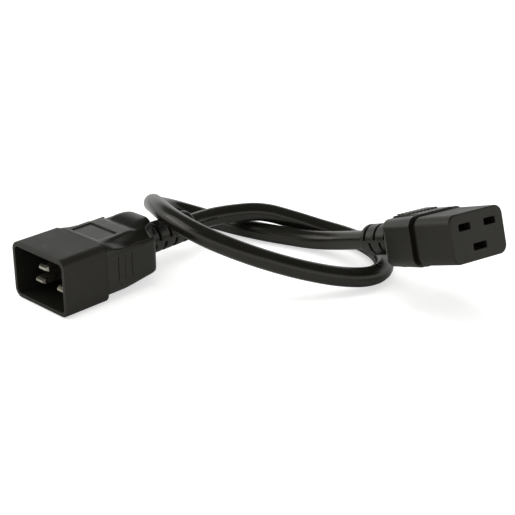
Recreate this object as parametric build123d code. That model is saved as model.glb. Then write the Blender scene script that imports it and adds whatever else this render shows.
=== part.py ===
from build123d import *
import math
import os

# A short moulded power cord in millimetres, +Z up: a C19 connector at one end and a C20 plug at the other.
# The origin is the centre of the flat underside of the plug's shroud, which lies on the floor, z = 0.
# Each connector is drawn in its own frame and then set in its place: its face in the plane y = 0,
# x to the right as one looks at that face, y from the face back to the cord, z up.

# The three ways, which both connectors share
live_spacing = 13.0
way_rise = 4.0
blade_width = 5.0
blade_thickness = 2.0

# Cord: jacket, insulated cores and copper
cord_diameter = 7.8
core_diameter = 2.9
copper_diameter = 1.8
core_ring_radius = 1.95
core_bend_radius = 3.0
core_straight = 1.6
run_share = 0.45

# C19 connector: the nose that enters the inlet
nose_width = 28.0
nose_height = 18.2
nose_corner = 3.5
nose_length = 17.6
nose_edge_round = 0.7
neck_depth = 1.2
groove_width = 2.3
body_length = 23.2
socket_spigot_width = 23.0
socket_spigot_height = 15.0
socket_spigot_corner = 2.0
slot_clearance = 0.3
slot_corner = 0.45
live_slot_width = 6.1
earth_slot_width = 7.0
face_wall = 1.6

# C19 connector: sprung contacts, folded from strip, with crimp barrels
contact_clearance = 0.15
contact_recess = 1.2
contact_mouth = 1.9
contact_pinch = 0.75
contact_pinch_depth = 5.0
contact_reach = 13.5
strip_thickness = 0.45
barrel_diameter = 3.4
crimp_length = 5.0

# C19 connector: overmoulded grip and strain relief
socket_grip_width = 30.0
socket_grip_height = 19.8
socket_grip_end = 35.4
socket_grip_corner = 4.5
socket_grip_round = 2.6
socket_length = 58.5
socket_pad_width = 17.0
socket_ledge_height = 6.9
socket_hollow_front_depth = 0.15
socket_hollow_rear_depth = 0.85
top_rib_count = 8
top_rib_pitch = 2.0
top_rib_width = 1.2
top_rib_height = 0.5
top_rib_corner = 0.3
top_rib_start = 26.4
top_rib_end = 32.6

# C20 plug: shroud and blades
shroud_width = 32.2
shroud_height = 23.2
shroud_corner = 3.7
shroud_wall = 1.8
shroud_length = 20.0
shroud_edge_round = 0.6
cavity_depth = 18.0
spigot_length = 4.0
spigot_width = 22.6
spigot_height = 14.2
spigot_corner = 2.0
live_blade_setback = 4.65
earth_blade_setback = 1.9
blade_tail = 1.2
blade_tip_bevel = 0.55
blade_tip_length = 1.1

# C20 plug: overmoulded grip and strain relief
plug_pad_drop = 0.2
plug_step = 1.7
plug_grip_corner = 4.5
plug_wing_end = 45.8
plug_heel_length = 6.6
plug_heel_rise = 5.8
plug_heel_radius = 6.8
plug_rear_corner_length = 2.4
plug_rear_corner_inset = 2.2
plug_rear_corner_radius = 2.6
plug_pad_end = 39.2
plug_pad_front_width = 23.6
plug_pad_rear_width = 19.0
plug_pad_edge_round = 1.6
plug_pad_edge_rise = 0.08
plug_pad_edge_sweep = 55.0
plug_valley_depth = 0.7
plug_ledge_height = 8.4
plug_ledge_climb = 0.5
plug_ledge_round = 0.4
plug_wing_thickness = 1.3
plug_hollow_front_drop = 1.2
plug_hollow_rear_drop = 3.0
plug_hollow_sag_share = 0.12
plug_length = 76.5
rib_places = (25.6, 29.0, 32.3)
rib_width = 0.8
rib_depth = 0.5
rib_bottom = -4.2
rib_top = 6.1

# C20 plug: the grip's raised back and its tail, by section: distance behind the rim, width, bottom, top and
# corner
back_sections = (
    (37.8, 19.2, -8.0, 10.1, 2.8),
    (41.0, 19.6, -8.1, 11.0, 3.4),
    (44.0, 18.8, -8.2, 12.1, 3.8),
    (47.6, 16.2, -7.8, 12.5, 3.4),
    (50.2, 13.8, -7.0, 12.2, 3.2),
    (51.8, 12.6, -6.4, 8.4, 4.6),
)
tail_sections = (
    (44.4, 27.0, -8.4, 8.2, 4.6),
    (47.6, 22.6, -7.8, 7.8, 5.2),
    (50.2, 14.4, -6.6, 6.9, 6.0),
)

# The plug's label recess
label_width = 16.0
label_length = 9.8
label_depth = 0.4
label_setback = 2.4

# Both grips: strain relief with staggered slots
relief_diameter = 12.5
relief_end_round = 0.9
relief_slot_width = 1.3
relief_slot_depth = 1.6
relief_slot_pitch = 5.8
relief_slot_rib = 0.9
relief_end_band = 2.25
socket_slot_pairs = 3
plug_slot_pairs = 4

# Both connectors: the inner mould that holds the wired contacts before the grip goes on
inner_width = 22.0
inner_height = 13.6
inner_corner = 2.5
socket_inner_length = 7.0
plug_inner_length = 12.0
socket_jacket_overlap = 22.5
plug_jacket_overlap = 33.0

# Where the connector lies: its face centre and its turn, held up by its own stiff cord
socket_face = (94.5, -123.6, 33.6)
socket_heading = -8.97
socket_roll = 2.87
socket_nose_up = 19.8

# The cord's route between the two strain reliefs. The first and last bends stand on the reliefs' own axes.
plug_lead = 9.5
socket_lead = 10.5
route = (
    (87.0, -5.5, 12.3),
    (97.2, -13.8, 12.8),
    (106.2, -23.2, 8.9),
    (113.8, -33.4, 5.2),
    (117.6, -45.5, 3.9),
    (115.6, -58.0, 3.9),
    (110.2, -69.0, 3.9),
    (101.2, -77.6, 3.9),
    (89.4, -79.4, 4.5),
    (77.8, -74.0, 6.8),
    (67.5, -66.6, 10.2),
    (58.1, -59.2, 14.2),
    (49.6, -51.2, 18.5),
    (43.2, -41.0, 22.4),
    (40.8, -29.0, 25.0),
    (42.2, -16.6, 26.2),
    (46.6, -5.2, 25.9),
    (53.0, 5.2, 23.5),
    (60.6, 14.8, 19.0),
    (69.0, 22.4, 13.8),
    (79.0, 24.8, 9.3),
    (87.6, 19.4, 5.3),
    (91.4, 8.4, 3.9),
    (93.2, -4.0, 3.9),
    (96.0, -15.5, 3.9),
    (99.8, -26.5, 3.9),
    (102.9, -37.2, 4.3),
    (104.3, -48.0, 6.6),
)

overrun = 1.0
WAYS = ("line", "neutral", "earth")

# Sizes that follow from the ones above
live_x = live_spacing / 2
shroud_inner_width = shroud_width - 2 * shroud_wall
shroud_inner_height = shroud_height - 2 * shroud_wall
neck_width = nose_width - 2 * neck_depth
neck_height = nose_height - 2 * neck_depth
grip_start = nose_length + groove_width
contact_back = face_wall + contact_recess + contact_reach
chamber_height = 2 * (contact_mouth + contact_clearance)
socket_inner_end = body_length + socket_inner_length
socket_jacket_start = socket_length - socket_jacket_overlap
spigot_end = shroud_length + spigot_length
blade_end = spigot_end + blade_tail
barrel_end = blade_end + crimp_length
plug_inner_end = spigot_end + plug_inner_length
plug_jacket_start = plug_length - plug_jacket_overlap
plug_pad_top = shroud_height / 2 - plug_pad_drop
plug_grip_bottom = -(shroud_height / 2 - plug_step)

socket_place = (
    Pos(*socket_face) * Rot(Z=socket_heading) * Rot(Y=socket_roll) * Rot(X=-socket_nose_up)
)
plug_place = Pos(-shroud_length / 2, 0, shroud_height / 2) * Rot(Z=-90)


def block(outline, start, end):
    """An outline seen from the face, carried back from one distance behind the face to another."""
    return extrude(Plane.XZ.offset(-start) * outline, amount=start - end)


def outline_at(outline, distance):
    """The same kind of outline, standing at one distance behind the face."""
    return Plane.XZ.offset(-distance) * outline


def band(width, bottom, top, corner):
    """A rounded rectangle between two heights."""
    return Pos(0, (bottom + top) / 2) * RectangleRounded(width, top - bottom, corner)


def way_place(way, live_side):
    """Centre of a way in the face: live_side is 1 where the live ways are the upper ones."""
    side = {"line": 1, "neutral": -1, "earth": 0}[way]
    rise = live_side * way_rise if side else -live_side * way_rise
    return side * live_x, rise


def core_place(way, live_side):
    """Centre of an insulated core where the three lie together at the end of the jacket."""
    angle = {"line": 30, "neutral": 150, "earth": 270}[way]
    x = core_ring_radius * math.cos(math.radians(angle))
    return x, live_side * core_ring_radius * math.sin(math.radians(angle))


def core(way, live_side, start, end):
    """One insulated core, from its crimp barrel to the end of the jacket."""
    x, z = way_place(way, live_side)
    ring_x, ring_z = core_place(way, live_side)
    path = FilletPolyline(
        (x, start, z),
        (x, start + core_straight, z),
        (ring_x, end - core_straight, ring_z),
        (ring_x, end, ring_z),
        radius=core_bend_radius,
    )
    section = Plane(origin=path @ 0, z_dir=path % 0) * Circle(core_diameter / 2)
    return sweep(section, path=path)


def relief(start, end, pairs):
    """A round strain relief with half-ring slots, cut by turns into its upper and its lower half."""
    body = block(Circle(relief_diameter / 2), start, end)
    end_edges = body.faces().sort_by(Axis.Y)[-1].edges()
    body = body.fillet(relief_end_round, end_edges)
    ring = Circle(relief_diameter / 2 + overrun) - Circle(relief_diameter / 2 - relief_slot_depth)
    tall = relief_diameter / 2 + 2 * overrun
    lift = (relief_slot_rib + tall) / 2
    for index in range(pairs):
        for half in (0, 1):
            side = -1 if half else 1
            middle = end - relief_end_band - relief_slot_width / 2
            middle -= (index + half / 2) * relief_slot_pitch
            window = Pos(0, side * lift) * Rectangle(2 * tall, tall)
            low, high = middle - relief_slot_width / 2, middle + relief_slot_width / 2
            body -= block(ring & window, low, high)
    return body


def section_of(sides, *curves):
    """A flat face bounded by straight sides and by curves."""
    return make_face([*sides.edges(), *curves])


def on_circle(centre, radius, degrees):
    """A point on a circle, at an angle from the x axis."""
    angle = math.radians(degrees)
    return centre[0] + radius * math.cos(angle), centre[1] + radius * math.sin(angle)


def corner_hollow(distance, depth):
    """Section of the shallow hollow over a corner of the connector's grip: its outline, sunk by a depth."""
    top, side = socket_grip_height / 2, socket_grip_width / 2
    centre = (side - socket_grip_corner, top - socket_grip_corner)
    radius = socket_grip_corner - depth
    foot_angle = math.degrees(math.asin((socket_ledge_height - centre[1]) / radius))
    foot, crest = on_circle(centre, radius, foot_angle), on_circle(centre, radius, 90)
    middle = on_circle(centre, radius, (foot_angle + 90) / 2)
    pad_half = socket_pad_width / 2
    sides = Polyline(
        foot,
        (side + overrun, socket_ledge_height),
        (side + overrun, top + overrun),
        (pad_half, top + overrun),
        (pad_half, crest[1]),
        crest,
    )
    return outline_at(section_of(sides, ThreePointArc(crest, middle, foot)), distance)


def shoulder(distance, pad_half, ledge_z, drop):
    """Section of the hollow between the plug's soft-edged pad and its raised side, on the +x side."""
    ledge_x = shroud_width / 2 - plug_wing_thickness
    crest = (pad_half - plug_pad_edge_round, plug_pad_top + plug_pad_edge_rise - plug_pad_edge_round)
    edge = [
        on_circle(crest, plug_pad_edge_round, 90 - share * plug_pad_edge_sweep) for share in (0, 0.5, 1)
    ]
    foot = (ledge_x, ledge_z - drop)
    sag = math.dist(edge[2], foot) * plug_hollow_sag_share
    lean = math.atan2(edge[2][1] - foot[1], foot[0] - edge[2][0])
    deep = (
        (edge[2][0] + foot[0]) / 2 - sag * math.sin(lean),
        (edge[2][1] + foot[1]) / 2 - sag * math.cos(lean),
    )
    lip = (ledge_x + plug_ledge_round, ledge_z - plug_ledge_round)
    lip_side, lip_middle, lip_top = (
        on_circle(lip, plug_ledge_round, angle) for angle in (180, 135, 90)
    )
    reach, above = shroud_width / 2 + overrun, plug_pad_top + overrun
    outer = Polyline(lip_top, (reach, ledge_z), (reach, above), (edge[0][0], above), edge[0])
    face = section_of(
        outer,
        Line(foot, lip_side),
        ThreePointArc(lip_side, lip_middle, lip_top),
        ThreePointArc(*edge),
        ThreePointArc(edge[2], deep, foot),
    )
    return outline_at(face, distance)


def both_sides(tool):
    """A cutting shape and its mirror image on the other side of the connector."""
    return [tool, mirror(tool, about=Plane.YZ)]


def label_pocket(start, top):
    """The shallow recess for the rating label, in the flat pad on top of a grip."""
    pocket = Pos(0, start + label_setback + label_length / 2, top - label_depth / 2 + overrun / 2)
    return pocket * Box(label_width, label_length, label_depth + overrun)


def socket_spigot():
    """Outline of the narrow back of the nose, which the grip is moulded round."""
    return RectangleRounded(socket_spigot_width, socket_spigot_height, socket_spigot_corner)


def build_socket_body():
    """The moulded nose: a rounded block with three slots, a chamber behind each, and a neck at the back."""
    body = block(RectangleRounded(nose_width, nose_height, nose_corner), 0, nose_length)
    body = body.fillet(nose_edge_round, body.faces().sort_by(Axis.Y)[0].edges())
    neck = RectangleRounded(neck_width, neck_height, nose_corner - neck_depth)
    body += block(neck, nose_length, grip_start)
    body += block(socket_spigot(), grip_start, body_length)
    for way in WAYS:
        x, z = way_place(way, 1)
        slot_width = earth_slot_width if way == "earth" else live_slot_width
        slot = RectangleRounded(slot_width, blade_thickness + 2 * slot_clearance, slot_corner)
        chamber = Rectangle(contact_width(way) + 2 * contact_clearance, chamber_height)
        body -= block(Pos(x, z) * slot, -overrun, face_wall + overrun)
        body -= block(Pos(x, z) * chamber, face_wall, body_length + overrun)
    return body


def contact_width(way):
    """Width of a sprung contact, which spans its slot."""
    return earth_slot_width if way == "earth" else live_slot_width


def build_socket_contact(way):
    """A strip folded to a U that grips the blade between two leaves, with a barrel for the copper."""
    front = face_wall + contact_recess
    pinch_at = front + contact_pinch_depth
    spread = blade_thickness / 2
    upper_outer = [
        (front, contact_mouth),
        (pinch_at, contact_pinch + strip_thickness),
        (contact_back, spread + strip_thickness),
    ]
    upper_inner = [
        (contact_back - strip_thickness, spread),
        (pinch_at, contact_pinch),
        (front, contact_mouth - strip_thickness),
    ]
    lower_outer = [(y, -z) for y, z in reversed(upper_outer)]
    lower_inner = [(y, -z) for y, z in reversed(upper_inner)]
    fold = Polyline(*upper_outer, *lower_outer, *lower_inner, *upper_inner, close=True)
    strip = extrude(Plane.YZ * make_face(fold.edges()), amount=contact_width(way) / 2, both=True)
    strip += block(Circle(barrel_diameter / 2), contact_back, body_length)
    strip -= block(Circle(copper_diameter / 2), body_length - crimp_length, body_length + overrun)
    x, z = way_place(way, 1)
    return Pos(x, 0, z) * strip


def build_copper(way, live_side, end):
    """The bare copper end of a core, crimped in its barrel."""
    x, z = way_place(way, live_side)
    return block(Pos(x, z) * Circle(copper_diameter / 2), end - crimp_length, end)


def build_inner_mould(start, end, pieces):
    """The block moulded round the wired ends, before the outer grip."""
    mould = block(RectangleRounded(inner_width, inner_height, inner_corner), start, end)
    for piece in pieces:
        mould -= piece
    return mould


def build_socket_grip(cores):
    """The connector's soft outer moulding: rounded grip with sunk corners, ribbed on top, and a relief."""
    outline = RectangleRounded(socket_grip_width, socket_grip_height, socket_grip_corner)
    grip = block(outline, grip_start, socket_grip_end)
    grip = grip.fillet(socket_grip_round, grip.faces().sort_by(Axis.Y)[-1].edges())
    hollow = loft(
        [
            corner_hollow(grip_start - overrun, socket_hollow_front_depth),
            corner_hollow(socket_grip_end + overrun, socket_hollow_rear_depth),
        ],
        ruled=True,
    )
    for cut in both_sides(hollow):
        grip -= cut
        grip -= mirror(cut, about=Plane.XY)
    top = socket_grip_height / 2
    rib_outline = band(top_rib_width, top - overrun, top + top_rib_height, top_rib_corner)
    for index in range(top_rib_count):
        shift = (index - (top_rib_count - 1) / 2) * top_rib_pitch
        grip += block(Pos(shift, 0) * rib_outline, top_rib_start, top_rib_end)
    grip += relief(socket_inner_end, socket_length, socket_slot_pairs)
    grip -= block(socket_spigot(), grip_start - overrun, body_length)
    grip -= block(RectangleRounded(inner_width, inner_height, inner_corner), body_length, socket_inner_end)
    for piece in cores:
        grip -= piece
    return grip - block(Circle(cord_diameter / 2), socket_jacket_start, socket_length + overrun)


def plug_spigot():
    """Outline of the narrow back of the shroud's base, which the grip is moulded round."""
    return RectangleRounded(spigot_width, spigot_height, spigot_corner)


def build_plug_shroud():
    """The plug's shroud, open in front, with the base that carries the blades and a spigot behind it."""
    outer = RectangleRounded(shroud_width, shroud_height, shroud_corner)
    inner = RectangleRounded(shroud_inner_width, shroud_inner_height, shroud_corner - shroud_wall)
    shell = block(outer, 0, shroud_length)
    shell = shell.fillet(shroud_edge_round, shell.faces().sort_by(Axis.Y)[0].edges())
    shell -= block(inner, -overrun, cavity_depth)
    shell += block(plug_spigot(), shroud_length, spigot_end)
    blade = Rectangle(blade_width, blade_thickness)
    for way in WAYS:
        x, z = way_place(way, -1)
        shell -= block(Pos(x, z) * blade, cavity_depth - overrun, spigot_end + overrun)
    return shell


def build_plug_blade(way):
    """A flat blade with a bevelled tip and, behind the base, a barrel for the copper."""
    tip = earth_blade_setback if way == "earth" else live_blade_setback
    blade = block(Rectangle(blade_width, blade_thickness), tip + blade_tip_length, blade_end)
    narrow = Rectangle(blade_width - 2 * blade_tip_bevel, blade_thickness - 2 * blade_tip_bevel)
    full = Rectangle(blade_width, blade_thickness)
    blade += loft([outline_at(narrow, tip), outline_at(full, tip + blade_tip_length)], ruled=True)
    blade += block(Circle(barrel_diameter / 2), blade_end, barrel_end)
    blade -= block(Circle(copper_diameter / 2), barrel_end - crimp_length, barrel_end + overrun)
    x, z = way_place(way, -1)
    return Pos(x, 0, z) * blade


def lofted(sections):
    """A solid through rounded rectangles, each given by its distance, width, bottom, top and corner."""
    outlines = [
        outline_at(band(width, low, high, corner), at) for at, width, low, high, corner in sections
    ]
    return loft(outlines)


def plug_plan():
    """The plug's grip from above, with its two rear corners rounded."""
    half_width = shroud_width / 2
    corner_start = (half_width, plug_wing_end - plug_rear_corner_length)
    corner_end = (half_width - plug_rear_corner_inset, plug_wing_end)
    other_end, other_start = (-corner_end[0], corner_end[1]), (-corner_start[0], corner_start[1])
    sides = Polyline(
        other_start,
        (-half_width, shroud_length - overrun),
        (half_width, shroud_length - overrun),
        corner_start,
    )
    return section_of(
        sides,
        RadiusArc(corner_start, corner_end, -plug_rear_corner_radius),
        Line(corner_end, other_end),
        RadiusArc(other_end, other_start, -plug_rear_corner_radius),
    )


def build_plug_wings():
    """The body of the plug's grip: side panels with a heel, hollows beside the pad, and side grooves."""
    half_width = shroud_width / 2
    outline = band(shroud_width, plug_grip_bottom, plug_pad_top, plug_grip_corner)
    wings = block(outline, shroud_length, plug_wing_end)
    heel_start = (plug_wing_end - plug_heel_length, plug_grip_bottom)
    heel_end = (plug_wing_end, plug_grip_bottom + plug_heel_rise)
    sides = Polyline(
        heel_end,
        (plug_wing_end, plug_pad_top),
        (shroud_length, plug_pad_top),
        (shroud_length, plug_grip_bottom),
        heel_start,
    )
    side_face = section_of(sides, RadiusArc(heel_start, heel_end, -plug_heel_radius))
    wings &= extrude(Plane.YZ * side_face, amount=half_width, both=True)
    wings &= extrude(plug_plan(), amount=shroud_height, both=True)
    valley = Pos(0, plug_pad_top) * Rectangle(shroud_width, 2 * plug_valley_depth)
    wings -= block(valley, plug_pad_end, plug_wing_end + overrun)
    hollow = loft(
        [
            shoulder(
                shroud_length - overrun, plug_pad_front_width / 2, plug_ledge_height, plug_hollow_front_drop
            ),
            shoulder(
                plug_wing_end + overrun,
                plug_pad_rear_width / 2,
                plug_ledge_height + plug_ledge_climb,
                plug_hollow_rear_drop,
            ),
        ],
        ruled=True,
    )
    for cut in both_sides(hollow):
        wings -= cut
    rib_cut = Box(2 * rib_depth, rib_width, rib_top - rib_bottom)
    for place in rib_places:
        for side in (-1, 1):
            wings -= Pos(side * half_width, place, (rib_top + rib_bottom) / 2) * rib_cut
    return wings - label_pocket(shroud_length, plug_pad_top)


def build_plug_grip(cores):
    """The plug's soft outer moulding: the body with its raised back, tail and strain relief."""
    grip = build_plug_wings() + lofted(back_sections) + lofted(tail_sections)
    grip += relief(plug_inner_end, plug_length, plug_slot_pairs)
    grip -= block(plug_spigot(), shroud_length - overrun, spigot_end)
    grip -= block(RectangleRounded(inner_width, inner_height, inner_corner), spigot_end, plug_inner_end)
    for piece in cores:
        grip -= piece
    return grip - block(Circle(cord_diameter / 2), plug_jacket_start, plug_length + overrun)


def on_axis(place, distance):
    """A point on a connector's own axis, a distance behind its face, in the cord's frame."""
    return (place * Pos(0, distance, 0)).position


def bend_radii(points):
    """The radius of each bend: as large as the shorter of its two runs allows."""
    radii = []
    for before, corner, after in zip(points, points[1:], points[2:]):
        back, ahead = before - corner, after - corner
        half_turn = (180 - back.get_angle(ahead)) / 2
        shorter = min(back.length, ahead.length)
        radii.append(run_share * shorter / math.tan(math.radians(half_turn)))
    return radii


def build_jacket():
    """The cord: a plain round jacket along its route, with a straight end inside each moulding."""
    points = [
        on_axis(plug_place, plug_length),
        on_axis(plug_place, plug_length + plug_lead),
        *(Vector(*point) for point in route),
        on_axis(socket_place, socket_length + socket_lead),
        on_axis(socket_place, socket_length),
    ]
    radii = bend_radii(points)
    path = FilletPolyline(*points, radius=radii)
    section = Plane(origin=path @ 0, z_dir=path % 0) * Circle(cord_diameter / 2)
    tube = sweep(section, path=path)
    print("bend radii", [round(radius, 1) for radius in radii])
    print("free length", round(path.length, 1))
    print("volume over section times length", round(tube.volume / (section.area * path.length), 5))
    circle = Circle(cord_diameter / 2)
    tube += plug_place * block(circle, plug_jacket_start, plug_length)
    return tube + socket_place * block(circle, socket_jacket_start, socket_length)


def build():
    """All pieces by name, each connector's in its own place."""
    socket, plug = {"socket_body": build_socket_body()}, {"plug_shroud": build_plug_shroud()}
    socket_cores = [core(way, 1, body_length, socket_jacket_start) for way in WAYS]
    plug_cores = [core(way, -1, barrel_end, plug_jacket_start) for way in WAYS]
    for way, socket_core, plug_core in zip(WAYS, socket_cores, plug_cores):
        socket[f"socket_contact_{way}"] = build_socket_contact(way)
        socket[f"socket_wire_{way}"] = build_copper(way, 1, body_length)
        socket[f"socket_core_{way}"] = socket_core
        plug[f"plug_blade_{way}"] = build_plug_blade(way)
        plug[f"plug_wire_{way}"] = build_copper(way, -1, barrel_end)
        plug[f"plug_core_{way}"] = plug_core
    socket["socket_inner_mould"] = build_inner_mould(body_length, socket_inner_end, socket_cores)
    held = [plug[f"plug_{kind}_{way}"] for kind in ("blade", "wire", "core") for way in WAYS]
    plug["plug_inner_mould"] = build_inner_mould(spigot_end, plug_inner_end, held)
    socket["socket_grip"] = build_socket_grip(socket_cores)
    plug["plug_grip"] = build_plug_grip(plug_cores)
    pieces = {name: socket_place * piece for name, piece in socket.items()}
    pieces.update({name: plug_place * piece for name, piece in plug.items()})
    pieces["cord_jacket"] = build_jacket()
    return pieces


os.makedirs("parts", exist_ok=True)
for name, piece in build().items():
    export_step(piece, f"parts/{name}.step")
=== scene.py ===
"""The looks of a short moulded power cord: a C19 connector at one end and a C20 plug at the other.

Lengths are in metres, where nothing else is said.
"""

import bmesh
import bpy
import numpy as np
from bpy.props import FloatProperty, FloatVectorProperty, PointerProperty
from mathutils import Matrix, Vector


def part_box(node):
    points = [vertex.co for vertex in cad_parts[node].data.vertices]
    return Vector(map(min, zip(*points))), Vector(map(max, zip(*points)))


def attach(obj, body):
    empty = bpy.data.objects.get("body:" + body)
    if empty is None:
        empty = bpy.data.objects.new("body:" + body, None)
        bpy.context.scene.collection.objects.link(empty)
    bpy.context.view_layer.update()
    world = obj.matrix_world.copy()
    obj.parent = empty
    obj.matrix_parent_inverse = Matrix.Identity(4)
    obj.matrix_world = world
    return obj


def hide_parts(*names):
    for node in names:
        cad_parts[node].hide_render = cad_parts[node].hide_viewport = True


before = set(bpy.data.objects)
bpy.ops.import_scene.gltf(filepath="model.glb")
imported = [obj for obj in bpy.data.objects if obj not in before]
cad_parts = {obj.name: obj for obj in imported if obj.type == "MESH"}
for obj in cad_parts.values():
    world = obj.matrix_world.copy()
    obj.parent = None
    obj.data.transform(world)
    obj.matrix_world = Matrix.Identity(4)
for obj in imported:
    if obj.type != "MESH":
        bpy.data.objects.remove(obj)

bl_info = {
    "name": "Moulded power cord",
    "version": (1, 0, 0),
    "blender": (4, 5, 0),
    "location": "3D View > Sidebar > Power Cord",
    "description": "Finishes a C19 connector and C20 plug on a short black cord, on a pale floor",
    "category": "Object",
}

WAYS = ("line", "neutral", "earth")
ENDS = ("socket", "plug")
SOFT_GRIP = "soft_plug_grip"

# The cord's line, from inside the connector's strain relief to inside the plug's, and the place where it
# comes out of the connector.
CORD_LINE = (
    (0.1015, -0.0728, 0.0151),
    (0.1035, -0.0593, 0.0103),
    (0.1043, -0.0480, 0.0066),
    (0.1029, -0.0372, 0.0043),
    (0.0998, -0.0265, 0.0039),
    (0.0960, -0.0155, 0.0039),
    (0.0932, -0.0040, 0.0039),
    (0.0914, 0.0084, 0.0039),
    (0.0876, 0.0194, 0.0053),
    (0.0790, 0.0248, 0.0093),
    (0.0690, 0.0224, 0.0138),
    (0.0606, 0.0148, 0.0190),
    (0.0530, 0.0052, 0.0235),
    (0.0466, -0.0052, 0.0259),
    (0.0422, -0.0166, 0.0262),
    (0.0408, -0.0290, 0.0250),
    (0.0432, -0.0410, 0.0224),
    (0.0496, -0.0512, 0.0185),
    (0.0581, -0.0592, 0.0142),
    (0.0675, -0.0666, 0.0102),
    (0.0778, -0.0740, 0.0068),
    (0.0894, -0.0794, 0.0045),
    (0.1012, -0.0776, 0.0039),
    (0.1102, -0.0690, 0.0039),
    (0.1156, -0.0580, 0.0039),
    (0.1176, -0.0455, 0.0039),
    (0.1138, -0.0334, 0.0052),
    (0.1062, -0.0232, 0.0089),
    (0.0972, -0.0138, 0.0128),
    (0.0870, -0.0055, 0.0123),
    (0.0760, 0.0, 0.0116),
    (0.0625, 0.0, 0.0116),
)

# The plug's grip by its own measures: along is the way behind its front face, aside the way from the plug's
# middle plane, and above the height over the cord's axis. First the chamber and the bore inside it.
INNER_END = 0.0165
INNER_HALF_WIDTH = 0.0115
INNER_HALF_HEIGHT = 0.0074
BORE_RADIUS = 0.0042

# Its side grooves and their floors, its label recess, and its raised back.
GROOVES_ALONG = (0.0048, 0.0132)
GROOVES_ABOVE = (-0.005, 0.0068)
GROOVES_ASIDE = 0.0152
GROOVES_FLOOR = 0.01585
LABEL_ALONG = (0.0018, 0.0128)
LABEL_ASIDE = 0.0086
LABEL_ABOVE = 0.0105
BACK_ALONG = (0.0172, 0.034)
BACK_ABOVE = 0.0078

# The hollows beside its pad: their slope and the edge over it, how far the pad lies under the shroud's top,
# and the radius of the rounded corner that the hollows are cut from.
SLOPE_ASIDE = 0.0115
SLOPE_ABOVE = 0.0062
EDGE_ASIDE = 0.0098
EDGE_ABOVE = 0.0088
PAD_DROP = 0.0002
GRIP_CORNER = 0.0045

# Its underside: where it starts to rise, how far behind the side panels and over what way it settles, and
# how far under the axis the rise begins.
RISE_START = 0.008
SETTLE_GAP = 0.0008
SETTLE_LENGTH = 0.01
RISE_BELOW = 0.0045

# How far a point goes towards its neighbours' mean in one round: on the outside, on the strain relief, which
# starts a gap behind the side panels, and on the label recess.
FULL_EASE = 0.5
RELIEF_EASE = 0.25
RELIEF_GAP = 0.003
LABEL_EASE = 0.15

# The rounds over all of the outside, and those over the edges that end up round: the rear end of the side
# panels, the back, and the points that the hollows' fill moved by more than a small share of their way.
ALL_ROUNDS = 4
EDGE_ROUNDS = 20
REAR_EDGE = (-0.0035, 0.0016)
FILLED = 0.02


class GripSettings(bpy.types.PropertyGroup):
    """Soft forms of the plug's grip, which its plain solid has with sharp ends."""

    cell: FloatProperty(
        name="Cell size",
        description="Spacing of the points on the grip's surface",
        default=0.00032,
        min=0.0002,
        unit="LENGTH",
    )
    hollow_growth: FloatProperty(
        name="Hollow's growth",
        description="Length behind the shroud over which the hollows beside the pad grow from nothing",
        default=0.0135,
        min=0.001,
        unit="LENGTH",
    )
    heel_rise: FloatProperty(
        name="Heel rise",
        description="How far the underside rises towards the rear end of the side panels",
        default=0.0022,
        min=0.0,
        unit="LENGTH",
    )
    groove_deepening: FloatProperty(
        name="Groove deepening",
        description="How much deeper the side grooves are than in the plain solid",
        default=0.0003,
        min=0.0,
        unit="LENGTH",
    )
    panel_length: FloatProperty(
        name="Panel length",
        description="Length of the side panels behind the shroud",
        default=0.0258,
        min=0.01,
        unit="LENGTH",
    )


class CordSettings(bpy.types.PropertyGroup):
    """Sizes and finish of the cord."""

    diameter: FloatProperty(
        name="Diameter",
        description="Outer diameter of the jacket",
        default=0.0078,
        min=0.002,
        unit="LENGTH",
    )
    length: FloatProperty(
        name="Length",
        description="Length of the cord between its two strain reliefs",
        default=0.374,
        min=0.1,
        unit="LENGTH",
    )
    colour: FloatVectorProperty(
        name="Jacket colour",
        description="Colour of the cord's jacket",
        default=(0.008, 0.0078, 0.006),
        subtype="COLOR",
        min=0.0,
        max=1.0,
    )
    roughness: FloatProperty(
        name="Roughness",
        description="Middle roughness of the extruded jacket",
        default=0.21,
        min=0.0,
        max=1.0,
        subtype="FACTOR",
    )


class MouldingSettings(bpy.types.PropertyGroup):
    """Colours and grain of the moulded plastics."""

    hard_colour: FloatVectorProperty(
        name="Hard plastic",
        description="Colour of the connector's nose and the plug's shroud",
        default=(0.0105, 0.0101, 0.0078),
        subtype="COLOR",
        min=0.0,
        max=1.0,
    )
    soft_colour: FloatVectorProperty(
        name="Grip plastic",
        description="Colour of the soft grips and strain reliefs",
        default=(0.0078, 0.0076, 0.0058),
        subtype="COLOR",
        min=0.0,
        max=1.0,
    )
    grain_size: FloatProperty(
        name="Grain size",
        description="Spacing of the fine pits that the mould's surface leaves",
        default=0.00035,
        min=0.00005,
        unit="LENGTH",
    )
    hard_roughness: FloatProperty(
        name="Hard roughness",
        description="Middle roughness of the hard plastic",
        default=0.43,
        min=0.0,
        max=1.0,
        subtype="FACTOR",
    )
    edge_round: FloatProperty(
        name="Edge softness",
        description="Radius at which the light rounds the moulded edges",
        default=0.0004,
        min=0.0,
        unit="LENGTH",
    )
    soft_roughness: FloatProperty(
        name="Grip roughness",
        description="Middle roughness of the soft plastic",
        default=0.3,
        min=0.0,
        max=1.0,
        subtype="FACTOR",
    )


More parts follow.
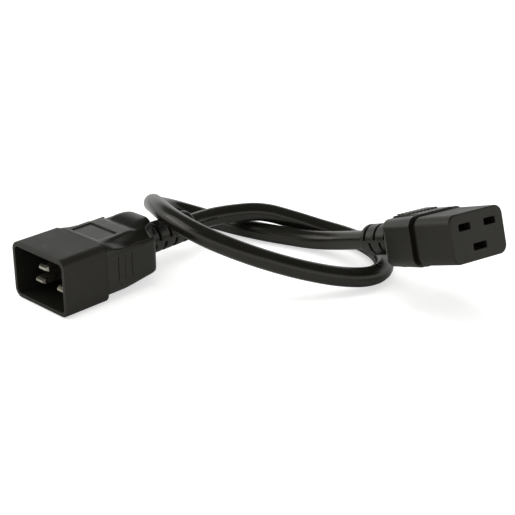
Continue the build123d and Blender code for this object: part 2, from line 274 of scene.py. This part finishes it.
class MetalSettings(bpy.types.PropertyGroup):
    """Colours of the blades, contacts and wires."""

    blade_colour: FloatVectorProperty(
        name="Blades",
        description="Colour of the plug's nickel-plated blades",
        default=(0.52, 0.5, 0.41),
        subtype="COLOR",
        min=0.0,
        max=1.0,
    )
    contact_colour: FloatVectorProperty(
        name="Contacts",
        description="Colour of the connector's sprung bronze contacts",
        default=(0.34, 0.25, 0.13),
        subtype="COLOR",
        min=0.0,
        max=1.0,
    )
    copper_colour: FloatVectorProperty(
        name="Copper",
        description="Colour of the bare wire ends",
        default=(0.72, 0.32, 0.18),
        subtype="COLOR",
        min=0.0,
        max=1.0,
    )


class StageSettings(bpy.types.PropertyGroup):
    """Camera, floor and lamps."""

    camera_place: FloatVectorProperty(
        name="Camera",
        description="Where the camera stands",
        default=(-0.251, -0.3413, 0.1978),
        subtype="XYZ",
        unit="LENGTH",
    )
    aim: FloatVectorProperty(
        name="Aim",
        description="The point that the camera looks at",
        default=(0.06557, -0.04118, 0.00912),
        subtype="XYZ",
        unit="LENGTH",
    )
    focal_length: FloatProperty(
        name="Focal length",
        description="Focal length of the camera's lens, in millimetres",
        default=83.92,
        min=10.0,
    )
    floor_colour: FloatVectorProperty(
        name="Floor",
        description="Colour of the floor",
        default=(0.62, 0.62, 0.61),
        subtype="COLOR",
        min=0.0,
        max=1.0,
    )
    key_power: FloatProperty(
        name="Overhead lamp",
        description="Power of the large soft lamp over the object, in watts",
        default=1.7,
        min=0.0,
    )
    rim_power: FloatProperty(
        name="Rear lamp",
        description="Power of the soft lamp behind the object, on the camera's left, in watts",
        default=0.9,
        min=0.0,
    )


# The noises of the finishes, in waves per metre, and the tints that they give to a colour.
CLOUD_WAVES = 60.0
RUB_WAVES = 420.0
DRAWN_WAVES = 900.0
PATCH_WAVES = 300.0
SPECKLE_WAVES = 700.0
CLOUD_TINTS = (0.86, 1.16)
PATCH_TINTS = (0.8, 1.08)
SPECKLE_TINTS = (0.985, 1.015)

# Dust, a lighter tint, grows to its share of a plastic's colour while the rubbing noise goes through the
# dust's limits, and rubbing comes in while the same noise goes through its own.
DUST_TINT = 2.1
DUST_SHARE = 0.35
DUST_LIMITS = (0.58, 0.85)
RUB_LIMITS = (0.55, 0.8)

# What each noise adds to the roughness of a plastic and of a metal.
CLOUD_SWING = 0.05
RUB_SWING = -0.08
PIT_SWING = 0.05
PATCH_SWING = (-0.06, 0.1)
DRAWN_SWING = 0.08

# Depth and size of the grain, how strongly the plastics mirror, and the finishes of cores and metals.
PLASTIC_GRAIN_DEPTH = 0.000012
JACKET_GRAIN_SIZE = 0.0009
JACKET_GLOSS = 0.45
HARD_GLOSS = 0.36
SOFT_GLOSS = 0.47
WARM_MIRROR = (1.0, 0.98, 0.88, 1.0)
CORE_COLOURS = {
    "line": ("brown core", (0.11, 0.035, 0.014)),
    "neutral": ("blue core", (0.01, 0.06, 0.3)),
    "earth": ("green core", (0.03, 0.22, 0.035)),
}
CORE_ROUGHNESS = 0.42
CORE_GRAIN_SIZE = 0.0005
CORE_GRAIN_DEPTH = 0.00001
CORE_GLOSS = 0.32
BLADE_ROUGHNESS = 0.3
CONTACT_ROUGHNESS = 0.36
COPPER_ROUGHNESS = 0.4
DRAWN_DEPTH = 0.00001
DRAWN_ALONG_X = (0.15, 1.0, 1.0)
DRAWN_ALONG_Y = (1.0, 0.15, 1.0)

# The stage. The sensor's width is in millimetres. What a reflection sees depends on how far its direction
# points up: the walls' level as far as their top, and the ceiling's from its start on. All other light is at
# the soft level.
SENSOR_WIDTH = 36.0
FLOOR_REACH = 3.0
FLOOR_DROP = 0.0002
FLOOR_GLOW = 0.6
LAMP_COLOUR = (1.0, 0.995, 0.98)
OVERHEAD_PLACE = (0.12, 0.05, 0.62)
OVERHEAD_SIZE = 0.5
REAR_PLACE = (-0.28, 0.36, 0.34)
REAR_SIZE = 0.4
WALL_LEVEL = 1.05
CEILING_LEVEL = 0.08
WALL_TOP = 0.37
CEILING_START = 0.55
SOFT_LEVEL = 0.75


def new_material(name):
    """A material with a Principled shader, its node tree and the shader itself."""
    material = bpy.data.materials.new(name)
    material.use_nodes = True
    return material, material.node_tree, material.node_tree.nodes["Principled BSDF"]


def joined(tree, value, socket):
    """Sets a socket, or links it where the value is another node's socket."""
    if isinstance(value, bpy.types.NodeSocket):
        tree.links.new(value, socket)
    else:
        socket.default_value = value


def noise(tree, scale, detail=3.0, roughness=0.5, stretch=(1.0, 1.0, 1.0)):
    """Smooth random values from 0 to 1 over the object's own coordinates; scale is in waves per metre."""
    place = tree.nodes.new("ShaderNodeTexCoord")
    mapping = tree.nodes.new("ShaderNodeMapping")
    texture = tree.nodes.new("ShaderNodeTexNoise")
    mapping.inputs["Scale"].default_value = stretch
    texture.inputs["Scale"].default_value = scale
    texture.inputs["Detail"].default_value = detail
    texture.inputs["Roughness"].default_value = roughness
    tree.links.new(place.outputs["Object"], mapping.inputs["Vector"])
    tree.links.new(mapping.outputs["Vector"], texture.inputs["Vector"])
    return texture.outputs["Fac"]


def ranged(tree, value, low, high, start=0.3, end=0.7):
    """A value from start to end, brought to the range from low to high and held there beyond it."""
    node = tree.nodes.new("ShaderNodeMapRange")
    node.inputs["From Min"].default_value = start
    node.inputs["From Max"].default_value = end
    node.inputs["To Min"].default_value = low
    node.inputs["To Max"].default_value = high
    tree.links.new(value, node.inputs["Value"])
    return node.outputs["Result"]


def between(tree, share, first, second):
    """A colour that goes from the first to the second as the share goes from 0 to 1."""
    node = tree.nodes.new("ShaderNodeMix")
    node.data_type = "RGBA"
    joined(tree, share, node.inputs["Factor"])
    joined(tree, first, node.inputs[6])
    joined(tree, second, node.inputs[7])
    return node.outputs[2]


def total(tree, first, second, weight):
    """The first value plus the second times a weight, which is a number or another node's value."""
    node = tree.nodes.new("ShaderNodeMath")
    node.operation = "MULTIPLY_ADD"
    tree.links.new(second, node.inputs[0])
    joined(tree, weight, node.inputs[1])
    tree.links.new(first, node.inputs[2])
    return node.outputs["Value"]


def larger(tree, first, second):
    """The larger of two values."""
    node = tree.nodes.new("ShaderNodeMath")
    node.operation = "MAXIMUM"
    tree.links.new(first, node.inputs[0])
    tree.links.new(second, node.inputs[1])
    return node.outputs["Value"]


def bump(tree, height, depth, shader, edge_round=0.0):
    """Raises and sinks the surface by a height from 0 to 1, times a depth, and softens its edges."""
    node = tree.nodes.new("ShaderNodeBump")
    if edge_round:
        edges = tree.nodes.new("ShaderNodeBevel")
        edges.samples = 6
        edges.inputs["Radius"].default_value = edge_round
        tree.links.new(edges.outputs["Normal"], node.inputs["Normal"])
    node.inputs["Strength"].default_value = 1.0
    node.inputs["Distance"].default_value = depth
    tree.links.new(height, node.inputs["Height"])
    tree.links.new(node.outputs["Normal"], shader.inputs["Normal"])


def tint(colour, factor):
    """A colour with full opacity, made lighter or darker by a factor."""
    return tuple(channel * factor for channel in colour) + (1.0,)


def mottled(tree, value, colour, tints):
    """A colour that goes from its first tint to its second with a noise's value."""
    return between(tree, ranged(tree, value, 0.0, 1.0), tint(colour, tints[0]), tint(colour, tints[1]))


def plastic(name, colour, roughness, grain_size, grain_depth, gloss, edge_round=0.0):
    """Moulded plastic: fine pits from the mould, faint flow clouds, and rubbed and dusty patches."""
    material, tree, shader = new_material(name)
    grain = noise(tree, 1.0 / grain_size, detail=2.0)
    clouds = noise(tree, CLOUD_WAVES, detail=4.0)
    rubs = noise(tree, RUB_WAVES, detail=6.0, roughness=0.65, stretch=(1.0, 0.35, 1.0))
    shade = mottled(tree, clouds, colour, CLOUD_TINTS)
    dust = ranged(tree, rubs, 0.0, DUST_SHARE, *DUST_LIMITS)
    tree.links.new(between(tree, dust, shade, tint(colour, DUST_TINT)), shader.inputs["Base Color"])
    level = ranged(tree, clouds, roughness - CLOUD_SWING, roughness + CLOUD_SWING)
    level = total(tree, level, ranged(tree, rubs, 0.0, 1.0, *RUB_LIMITS), RUB_SWING)
    level = total(tree, level, ranged(tree, grain, 0.0, 1.0), PIT_SWING)
    tree.links.new(level, shader.inputs["Roughness"])
    shader.inputs["Specular IOR Level"].default_value = gloss
    shader.inputs["Specular Tint"].default_value = WARM_MIRROR
    bump(tree, grain, grain_depth, shader, edge_round)
    return material


def metal(name, colour, roughness, stretch):
    """Plated or drawn metal: fine drawn lines along one axis, and duller handled patches."""
    material, tree, shader = new_material(name)
    lines = noise(tree, DRAWN_WAVES, detail=5.0, roughness=0.6, stretch=stretch)
    patches = noise(tree, PATCH_WAVES, detail=4.0)
    tree.links.new(mottled(tree, patches, colour, PATCH_TINTS), shader.inputs["Base Color"])
    level = ranged(tree, patches, roughness + PATCH_SWING[0], roughness + PATCH_SWING[1])
    level = total(tree, level, ranged(tree, lines, 0.0, 1.0), DRAWN_SWING)
    tree.links.new(level, shader.inputs["Roughness"])
    shader.inputs["Metallic"].default_value = 1.0
    bump(tree, lines, DRAWN_DEPTH, shader)
    return material


def finish_node(name, material):
    """Gives a solid of the frame its material."""
    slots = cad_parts[name].data.materials
    slots.clear()
    slots.append(material)


def smooth_step(share):
    """Goes from 0 to 1 as the share does, level at both ends: 3 s^2 - 2 s^3."""
    held = np.clip(share, 0.0, 1.0)
    return held * held * (3.0 - 2.0 * held)


def within(values, limits):
    """Which values lie between two limits."""
    return (values > limits[0]) & (values < limits[1])


def even_copy(context, node, name, cell):
    """A solid of the frame as a new closed mesh of even square cells."""
    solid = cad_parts[node].data.copy()
    form = bmesh.new()
    form.from_mesh(solid)
    bmesh.ops.remove_doubles(form, verts=form.verts, dist=1e-6)
    form.to_mesh(solid)
    form.free()
    piece = bpy.data.objects.new(name, solid)
    context.scene.collection.objects.link(piece)
    cells = piece.modifiers.new("even cells", "REMESH")
    cells.mode = "VOXEL"
    cells.voxel_size = cell
    context.view_layer.update()
    finished = piece.evaluated_get(context.evaluated_depsgraph_get())
    piece.data = bpy.data.meshes.new_from_object(finished)
    piece.data.name = name
    piece.data.materials.clear()
    piece.modifiers.clear()
    bpy.data.meshes.remove(solid)
    return piece


def points_and_edges(mesh):
    """The places of a mesh's points, and the two points that each of its edges joins."""
    places = np.empty(3 * len(mesh.vertices))
    mesh.vertices.foreach_get("co", places)
    edges = np.empty(2 * len(mesh.edges), int)
    mesh.edges.foreach_get("vertices", edges)
    return places.reshape(-1, 3), edges.reshape(-1, 2)


def eased(places, edges, weight, rounds):
    """Each point goes by its weight towards the mean of its neighbours, in each round: p + w (mean - p)."""
    start, end = edges[:, 0], edges[:, 1]
    count = len(places)
    neighbours = np.bincount(edges.ravel(), minlength=count)
    for _ in range(rounds):
        sums = [
            np.bincount(start, places[end, axis], count) + np.bincount(end, places[start, axis], count)
            for axis in range(3)
        ]
        means = np.stack(sums, axis=1) / neighbours[:, None]
        places = places + weight[:, None] * (means - places)
    return places


def corner_height(aside, pad_top, half_width):
    """Height of the rounded upper corner: top - r + sqrt(r^2 - d^2), with d the way past the flat top."""
    past_flat = np.clip(aside - (half_width - GRIP_CORNER), 0.0, GRIP_CORNER)
    return pad_top - GRIP_CORNER + np.sqrt(GRIP_CORNER**2 - past_flat**2)


def hollow_fill(along, aside, above, corner, growth):
    """Share of the hollows beside the pad that is filled: 1 - step(along / growth), all at the shroud."""
    slope = (aside > SLOPE_ASIDE) & (above > SLOPE_ABOVE)
    edge = (aside > EDGE_ASIDE) & (above > EDGE_ABOVE)
    hollow = (slope | edge) & (above < corner) & (along < growth)
    return np.where(hollow, 1.0 - smooth_step(along / growth), 0.0)


def underside_rise(along, above, deepest, settings):
    """How far the underside goes up: the heel's rise times three shares.

    The first grows up to the side panels' rear end, the second falls to nothing on the tail, and the third
    goes from nothing a little under the axis to all of it at the lowest point.
    """
    rising = smooth_step((along - RISE_START) / (settings.panel_length - RISE_START))
    settling = 1.0 - smooth_step((along - settings.panel_length - SETTLE_GAP) / SETTLE_LENGTH)
    share = np.clip((-RISE_BELOW - above) / (deepest - RISE_BELOW), 0.0, 1.0)
    return settings.heel_rise * rising * settling * share


class POWERCORD_OT_grip(bpy.types.Operator):
    """Moulds the plug's grip with soft edges, in place of its plain solid"""

    bl_idname = "power_cord.grip"
    bl_label = "Mould the plug's grip"

    def execute(self, context):
        settings = context.scene.power_cord_grip
        low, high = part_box("plug_grip")
        shroud_low, shroud_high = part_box("plug_shroud")
        axis_height = (shroud_low.z + shroud_high.z) / 2
        pad_top = shroud_high.z - axis_height - PAD_DROP
        piece = even_copy(context, "plug_grip", SOFT_GRIP, settings.cell)
        places, edges = points_and_edges(piece.data)
        along, aside, above = places[:, 0] - low.x, np.abs(places[:, 1]), places[:, 2] - axis_height
        chamber = (along < INNER_END) & (aside < INNER_HALF_WIDTH) & (np.abs(above) < INNER_HALF_HEIGHT)
        outside = ~(chamber | (np.hypot(aside, above) < BORE_RADIUS))

        corner = corner_height(aside, pad_top, high.y)
        fill = np.where(outside, hollow_fill(along, aside, above, corner, settings.hollow_growth), 0.0)
        rise = underside_rise(along, above, axis_height - low.z, settings)
        # The hollows go up to the rounded corner by their fill f, and the underside, which is elsewhere, goes
        # up by its rise: z + f (corner - z) + rise.
        places[:, 2] += fill * (corner - above) + np.where(outside, rise, 0.0)

        grooves = within(along, GROOVES_ALONG) & within(above, GROOVES_ABOVE) & (aside > GROOVES_ASIDE)
        floors = grooves & (aside < GROOVES_FLOOR)
        places[floors, 1] -= np.sign(places[floors, 1]) * settings.groove_deepening

        label = within(along, LABEL_ALONG) & (aside < LABEL_ASIDE) & (above > LABEL_ABOVE)
        weight = np.where(along > settings.panel_length + RELIEF_GAP, RELIEF_EASE, FULL_EASE)
        weight[label] = LABEL_EASE
        weight[grooves | ~outside] = 0.0
        places = eased(places, edges, weight, ALL_ROUNDS)

        rear = within(along, [settings.panel_length + limit for limit in REAR_EDGE])
        back = within(along, BACK_ALONG) & (above > BACK_ABOVE)
        round_edges = (rear | back | (fill > FILLED)) & outside & ~grooves
        places = eased(places, edges, np.where(round_edges, FULL_EASE, 0.0), EDGE_ROUNDS)

        piece.data.vertices.foreach_set("co", np.clip(places, low, high).ravel())
        piece.data.shade_smooth()
        piece.data.update()
        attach(piece, "root")
        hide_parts("plug_grip")
        return {"FINISHED"}


class POWERCORD_OT_cord(bpy.types.Operator):
    """Lays the cord along its line, in place of its plain solid"""

    bl_idname = "power_cord.cord"
    bl_label = "Lay the cord"

    def execute(self, context):
        settings = context.scene.power_cord_cord
        curve = bpy.data.curves.new("cord_jacket_line", "CURVE")
        curve.dimensions = "3D"
        curve.bevel_depth = settings.diameter / 2
        curve.bevel_resolution = 8
        curve.resolution_u = 12
        curve.use_fill_caps = True
        spline = curve.splines.new("NURBS")
        spline.points.add(len(CORD_LINE) - 1)
        for point, place in zip(spline.points, CORD_LINE):
            point.co = (*place, 1.0)
        spline.order_u = 3
        spline.use_endpoint_u = True
        spline.use_smooth = True
        jacket = bpy.data.objects.new("cord", curve)
        context.scene.collection.objects.link(jacket)
        rubber = plastic(
            "cord jacket",
            settings.colour,
            settings.roughness,
            JACKET_GRAIN_SIZE,
            PLASTIC_GRAIN_DEPTH,
            JACKET_GLOSS,
        )
        curve.materials.append(rubber)
        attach(jacket, "root")
        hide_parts("cord_jacket")
        on_cord = [
            node
            for name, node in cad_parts.items()
            if name.startswith("plug_") and not node.hide_render
        ]
        on_cord.append(bpy.data.objects[SOFT_GRIP])
        return {"FINISHED"}


class POWERCORD_OT_mouldings(bpy.types.Operator):
    """Finishes the nose, the shroud, the grips and the moulds inside them"""

    bl_idname = "power_cord.mouldings"
    bl_label = "Finish the mouldings"

    def execute(self, context):
        settings = context.scene.power_cord_mouldings
        size, edge = settings.grain_size, settings.edge_round
        hard = plastic(
            "hard plastic",
            settings.hard_colour,
            settings.hard_roughness,
            size,
            PLASTIC_GRAIN_DEPTH,
            HARD_GLOSS,
            edge,
        )
        soft = plastic(
            "grip plastic",
            settings.soft_colour,
            settings.soft_roughness,
            size,
            PLASTIC_GRAIN_DEPTH,
            SOFT_GLOSS,
            edge,
        )
        bpy.data.objects[SOFT_GRIP].data.materials.append(soft)
        for name in ("socket_body", "plug_shroud"):
            finish_node(name, hard)
        for end in ENDS:
            finish_node(f"{end}_grip", soft)
            finish_node(f"{end}_inner_mould", hard)
        return {"FINISHED"}


class POWERCORD_OT_metals(bpy.types.Operator):
    """Finishes the blades, the contacts, the wires and their coloured insulation"""

    bl_idname = "power_cord.metals"
    bl_label = "Finish the metals and wires"

    def execute(self, context):
        settings = context.scene.power_cord_metals
        blade = metal("nickel plate", settings.blade_colour, BLADE_ROUGHNESS, DRAWN_ALONG_X)
        contact = metal("sprung bronze", settings.contact_colour, CONTACT_ROUGHNESS, DRAWN_ALONG_Y)
        copper = metal("bare copper", settings.copper_colour, COPPER_ROUGHNESS, DRAWN_ALONG_Y)
        for way in WAYS:
            name, colour = CORE_COLOURS[way]
            insulation = plastic(
                name, colour, CORE_ROUGHNESS, CORE_GRAIN_SIZE, CORE_GRAIN_DEPTH, CORE_GLOSS
            )
            finish_node(f"plug_blade_{way}", blade)
            finish_node(f"socket_contact_{way}", contact)
            for end in ENDS:
                finish_node(f"{end}_wire_{way}", copper)
                finish_node(f"{end}_core_{way}", insulation)
        return {"FINISHED"}


def lamp(context, name, place, aim, size, power):
    """A square soft lamp at a place, turned to its aim."""
    light = bpy.data.lights.new(name, "AREA")
    light.size = size
    light.energy = power
    light.color = LAMP_COLOUR
    holder = bpy.data.objects.new(name, light)
    holder.location = place
    holder.rotation_euler = (Vector(aim) - Vector(place)).to_track_quat("-Z", "Y").to_euler()
    context.scene.collection.objects.link(holder)
    return holder


def floor_material(colour):
    """A pale floor that the camera sees as white, apart from the soft shadows."""
    material, tree, shader = new_material("pale floor")
    speckle = noise(tree, SPECKLE_WAVES, detail=2.0)
    tree.links.new(mottled(tree, speckle, colour, SPECKLE_TINTS), shader.inputs["Base Color"])
    shader.inputs["Roughness"].default_value = 0.9
    shader.inputs["Specular IOR Level"].default_value = 0.1
    glow = tree.nodes.new("ShaderNodeEmission")
    seen = tree.nodes.new("ShaderNodeLightPath")
    strength = ranged(tree, seen.outputs["Is Camera Ray"], 0.0, FLOOR_GLOW, 0.0, 1.0)
    tree.links.new(strength, glow.inputs["Strength"])
    both = tree.nodes.new("ShaderNodeAddShader")
    tree.links.new(shader.outputs["BSDF"], both.inputs[0])
    tree.links.new(glow.outputs["Emission"], both.inputs[1])
    tree.links.new(both.outputs["Shader"], tree.nodes["Material Output"].inputs["Surface"])
    return material


def white_surroundings(context):
    """A world that the camera sees as white and that lights evenly.

    Reflections see it white at the horizon and dim above, as in a room with pale walls and a dark ceiling.
    """
    world = bpy.data.worlds.new("soft white room")
    context.scene.world = world
    world.use_nodes = True
    tree = world.node_tree
    background = tree.nodes["Background"]
    background.inputs["Color"].default_value = (1.0, 1.0, 1.0, 1.0)
    direction = tree.nodes.new("ShaderNodeTexCoord")
    parts = tree.nodes.new("ShaderNodeSeparateXYZ")
    tree.links.new(direction.outputs["Generated"], parts.inputs["Vector"])
    walls = ranged(tree, parts.outputs["Z"], WALL_LEVEL, CEILING_LEVEL, WALL_TOP, CEILING_START)
    seen = tree.nodes.new("ShaderNodeLightPath")
    even = ranged(tree, seen.outputs["Is Glossy Ray"], SOFT_LEVEL, 0.0, 0.0, 1.0)
    lit = total(tree, even, seen.outputs["Is Glossy Ray"], walls)
    level = larger(tree, seen.outputs["Is Camera Ray"], lit)
    tree.links.new(level, background.inputs["Strength"])


def place_camera(context, settings):
    """The camera at its place, turned to its aim."""
    camera = bpy.data.objects.new("camera", bpy.data.cameras.new("camera"))
    camera.data.sensor_width = SENSOR_WIDTH
    camera.data.lens = settings.focal_length
    camera.data.clip_start = 0.01
    camera.data.clip_end = 20.0
    camera.location = settings.camera_place
    view = Vector(settings.aim) - Vector(settings.camera_place)
    camera.rotation_euler = view.to_track_quat("-Z", "Y").to_euler()
    context.scene.collection.objects.link(camera)
    context.scene.camera = camera


class POWERCORD_OT_stage(bpy.types.Operator):
    """Sets up the floor, the lamps, the surroundings and the camera"""

    bl_idname = "power_cord.stage"
    bl_label = "Set the stage"

    def execute(self, context):
        settings = context.scene.power_cord_stage
        sheet = bpy.data.meshes.new("floor")
        corners = [(-1, -1), (1, -1), (1, 1), (-1, 1)]
        places = [(x * FLOOR_REACH, y * FLOOR_REACH, 0.0) for x, y in corners]
        sheet.from_pydata(places, [], [(0, 1, 2, 3)])
        floor = bpy.data.objects.new("floor", sheet)
        floor.location.z = -FLOOR_DROP
        context.scene.collection.objects.link(floor)
        sheet.materials.append(floor_material(settings.floor_colour))
        aim = settings.aim
        overhead = lamp(context, "overhead lamp", OVERHEAD_PLACE, aim, OVERHEAD_SIZE, settings.key_power)
        overhead.visible_glossy = False
        lamp(context, "rear lamp", REAR_PLACE, aim, REAR_SIZE, settings.rim_power)
        white_surroundings(context)
        place_camera(context, settings)
        context.scene.view_settings.view_transform = "Standard"
        return {"FINISHED"}


class POWERCORD_PT_panel(bpy.types.Panel):
    """Lists the cord's sizes, colours and steps"""

    bl_idname = "POWERCORD_PT_panel"
    bl_label = "Power Cord"
    bl_space_type = "VIEW_3D"
    bl_region_type = "UI"
    bl_category = "Power Cord"

    def draw(self, context):
        for name, group, title in GROUPS:
            box = self.layout.box()
            box.label(text=title)
            settings = getattr(context.scene, name)
            for prop in group.__annotations__:
                box.prop(settings, prop)
        for step in STEPS:
            self.layout.operator(step.bl_idname)


GROUPS = (
    ("power_cord_grip", GripSettings, "Plug's grip"),
    ("power_cord_cord", CordSettings, "Cord"),
    ("power_cord_mouldings", MouldingSettings, "Mouldings"),
    ("power_cord_metals", MetalSettings, "Metals"),
    ("power_cord_stage", StageSettings, "Stage"),
)
STEPS = (
    POWERCORD_OT_grip,
    POWERCORD_OT_cord,
    POWERCORD_OT_mouldings,
    POWERCORD_OT_metals,
    POWERCORD_OT_stage,
)


def register():
    """Makes the settings, the steps and the panel known to Blender."""
    for _, group, _ in GROUPS:
        bpy.utils.register_class(group)
    for step in STEPS:
        bpy.utils.register_class(step)
    bpy.utils.register_class(POWERCORD_PT_panel)
    for name, group, _ in GROUPS:
        setattr(bpy.types.Scene, name, PointerProperty(type=group))


def unregister():
    """Takes them away again."""
    for name, _, _ in GROUPS:
        delattr(bpy.types.Scene, name)
    bpy.utils.unregister_class(POWERCORD_PT_panel)
    for step in reversed(STEPS):
        bpy.utils.unregister_class(step)
    for _, group, _ in reversed(GROUPS):
        bpy.utils.unregister_class(group)


def main():
    """Registers the parts of the add-on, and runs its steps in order."""
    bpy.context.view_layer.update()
    register()
    bpy.ops.power_cord.grip()
    bpy.ops.power_cord.cord()
    bpy.ops.power_cord.mouldings()
    bpy.ops.power_cord.metals()
    bpy.ops.power_cord.stage()
    bpy.context.view_layer.update()


if __name__ == "__main__":
    main()
